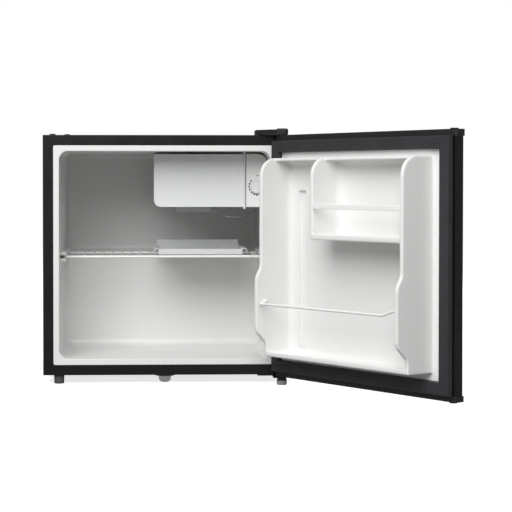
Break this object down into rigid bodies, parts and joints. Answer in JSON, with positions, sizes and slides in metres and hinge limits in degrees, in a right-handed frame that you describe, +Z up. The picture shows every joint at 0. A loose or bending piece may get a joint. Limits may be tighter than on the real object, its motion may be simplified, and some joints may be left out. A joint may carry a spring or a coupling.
{
  "type": "mini fridge",
  "caption": "Compact single-door refrigerator with an open hinged door, freezer flap, wire shelf, drip tray and moulded door bays.",
  "frame": {"origin": "where the front centre glide touches the floor", "axes": "+Z up, -Y out through the front opening, +X towards the hinge side"},
  "size_m": [0.7379, 0.8296, 0.494],
  "materials": {
    "black_paint": "satin",
    "black_plastic": "matte",
    "white_plastic": "gloss",
    "zinc_steel": "satin",
    "galvanised_sheet": "satin",
    "copper": "satin",
    "foam": "matte",
    "gasket_vinyl": "satin",
    "bright_metal": "gloss",
    "rubber_black": "matte",
    "foot_grey": "satin",
    "foot_light": "satin",
    "aluminium_sheet": "satin",
    "flap_plastic": "satin",
    "white_wire": "gloss",
    "tray_plastic": "gloss"
  },
  "bodies": {
    "cabinet": {"outer_shell": "black_paint", "front_frame": "black_paint", "bottom_panel": "galvanised_sheet", "back_panel": "black_paint", "compartment_plate": "galvanised_sheet", "inner_liner": "white_plastic", "foam_insulation": "foam", "condenser_coil": "copper", "upper_hinge_bracket": "zinc_steel", "upper_hinge_pin": "zinc_steel", "upper_hinge_cover": "black_plastic", "lower_hinge_bracket": "black_paint", "lower_hinge_pin": "zinc_steel", "hinge_screws": "zinc_steel", "hinge_hole_plugs": "black_plastic", "panel_screws": "zinc_steel", "glide_collar": "black_plastic", "glide_dome": "bright_metal", "rear_feet": "rubber_black", "foot_socket": "zinc_steel", "right_foot_locknut": "black_plastic", "evaporator_box": "aluminium_sheet", "evaporator_hangers": "white_plastic", "freezer_frame": "white_plastic", "thermostat_housing": "white_plastic", "thermostat_body": "zinc_steel", "capillary_tube": "copper", "bulb_clip": "white_plastic", "compressor_base": "galvanised_sheet", "compressor_grommets": "rubber_black", "compressor_bolts": "zinc_steel", "compressor": "black_paint", "terminal_cover": "black_plastic", "discharge_tube": "copper", "suction_tube": "copper", "filter_drier": "copper", "cord_gland": "black_plastic"},
    "door": {"door_skin": "black_paint", "door_top_cap": "black_plastic", "door_bottom_cap": "black_plastic", "door_foam": "foam", "door_liner": "white_plastic", "door_gasket": "gasket_vinyl", "hinge_bushes": "flap_plastic", "door_pin_plugs": "black_plastic", "bottle_rail": "white_wire", "can_bar": "white_plastic"},
    "flap": {"freezer_flap": "flap_plastic"},
    "dial": {"thermostat_dial": "flap_plastic"},
    "shelf": {"wire_shelf": "white_wire"},
    "tray": {"drip_tray": "tray_plastic"},
    "foot_left": {"left_foot": "foot_grey"},
    "foot_right": {"right_foot": "foot_light"}
  },
  "joints": [
    {"name": "door_hinge", "type": "hinge", "parent": "cabinet", "child": "door", "pos_m": [0.225, -0.049, 0.25], "axis": [0, 0, 1], "range_deg": [-125, 10]},
    {"name": "freezer_flap_hinge", "type": "hinge", "parent": "cabinet", "child": "flap", "pos_m": [0.1589, 0.046, 0.394], "axis": [0, 0, 1], "range_deg": [0, 90]},
    {"name": "thermostat_dial_turn", "type": "hinge", "parent": "cabinet", "child": "dial", "pos_m": [0.18508, 0.04, 0.3825], "axis": [0, 1, 0], "range_deg": [0, 270]},
    {"name": "shelf_slide", "type": "slide", "parent": "cabinet", "child": "shelf", "axis": [0, -1, 0], "range_m": [0, 0.12]},
    {"name": "tray_slide", "type": "slide", "parent": "shelf", "child": "tray", "axis": [0, -1, 0], "range_m": [0, 0.1]},
    {"name": "left_foot_turn", "type": "hinge", "parent": "cabinet", "child": "foot_left", "pos_m": [-0.2055, -0.013, 0.01], "axis": [0, 0, 1], "continuous": true},
    {"name": "right_foot_turn", "type": "hinge", "parent": "cabinet", "child": "foot_right", "pos_m": [0.225, -0.049, 0.005], "axis": [0, 0, 1], "continuous": true}
  ]
}
